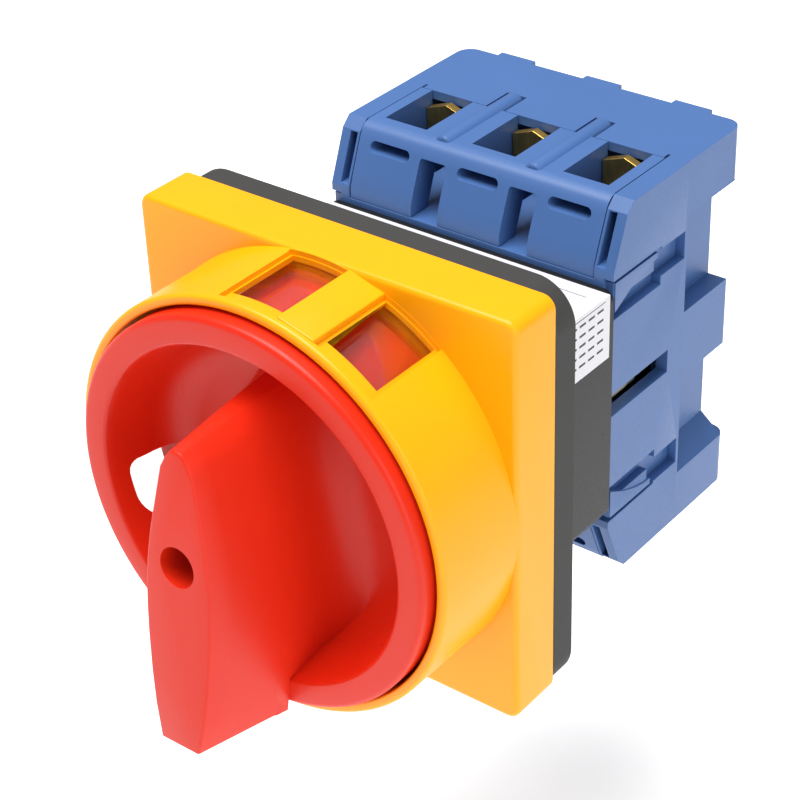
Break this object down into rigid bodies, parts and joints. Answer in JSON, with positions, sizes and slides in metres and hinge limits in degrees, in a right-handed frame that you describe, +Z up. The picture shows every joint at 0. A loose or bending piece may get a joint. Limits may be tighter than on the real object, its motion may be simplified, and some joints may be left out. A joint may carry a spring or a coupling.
{
  "type": "rotary isolator switch",
  "caption": "Panel-mounted rotary isolator with square front plate, collar, lockable paddle handle, gasket, switching mechanism and a pole block with screw terminals behind the panel",
  "frame": {"origin": "on the shaft's axis, in the plane where the gasket seats on the panel", "axes": "+X right and +Z up as seen facing the handle, +Y rearwards through the panel"},
  "size_m": [0.065, 0.1028, 0.0655],
  "materials": {
    "yellow_plastic": "moulded, satin gloss",
    "clear_plastic": "moulded clear polycarbonate",
    "red_plastic": "moulded, satin gloss",
    "grey_rubber": "closed-cell, matt",
    "label": "printed film",
    "black_plastic": "moulded, fine texture",
    "blue_plastic": "moulded, semi-matt",
    "cream_plastic": "moulded, semi-matt",
    "brass": "stamped",
    "zinc_steel": "zinc plated"
  },
  "bodies": {
    "housing": {"contact_housing": "blue_plastic", "fixed_contact_bottom_1": "brass", "fixed_contact_bottom_2": "brass", "fixed_contact_bottom_3": "brass", "fixed_contact_top_1": "brass", "fixed_contact_top_2": "brass", "fixed_contact_top_3": "brass", "fixing_screws": "zinc_steel", "front_bezel": "yellow_plastic", "housing_screws": "zinc_steel", "index_leaf_left": "zinc_steel", "index_leaf_right": "zinc_steel", "mechanism_end_plate": "black_plastic", "mechanism_housing": "black_plastic", "panel_gasket": "grey_rubber", "rating_label": "label", "rear_housing": "blue_plastic", "saddle_clamp_bottom_1": "brass", "saddle_clamp_bottom_2": "brass", "saddle_clamp_bottom_3": "brass", "saddle_clamp_top_1": "brass", "saddle_clamp_top_2": "brass", "saddle_clamp_top_3": "brass", "shaft_seal": "grey_rubber", "terminal_cover_bottom": "blue_plastic", "terminal_cover_top": "blue_plastic", "terminal_screws_bottom": "zinc_steel", "terminal_screws_top": "zinc_steel", "window_lenses": "clear_plastic"},
    "rotor": {"rotary_handle": "red_plastic", "handle_screw": "zinc_steel", "drive_shaft": "zinc_steel", "index_wheel": "black_plastic", "cam_drum": "cream_plastic"},
    "carrier": {"contact_carrier": "cream_plastic", "contact_springs": "zinc_steel", "contact_bridge_1": "brass", "contact_bridge_2": "brass", "contact_bridge_3": "brass"}
  },
  "joints": [
    {"name": "handle_turn", "type": "hinge", "parent": "housing", "child": "rotor", "pos_m": [0, 0, 0], "axis": [0, 1, 0], "range_deg": [0, 90], "deforming": ["index_leaf_left", "index_leaf_right"]},
    {"name": "carrier_slide", "type": "slide", "parent": "housing", "child": "carrier", "axis": [0, 1, 0], "range_m": [0, 0.0042]}
  ],
  "couplings": [
    {"joint": "carrier_slide", "follows": "handle_turn", "m_per_rad": 0.0026738}
  ]
}
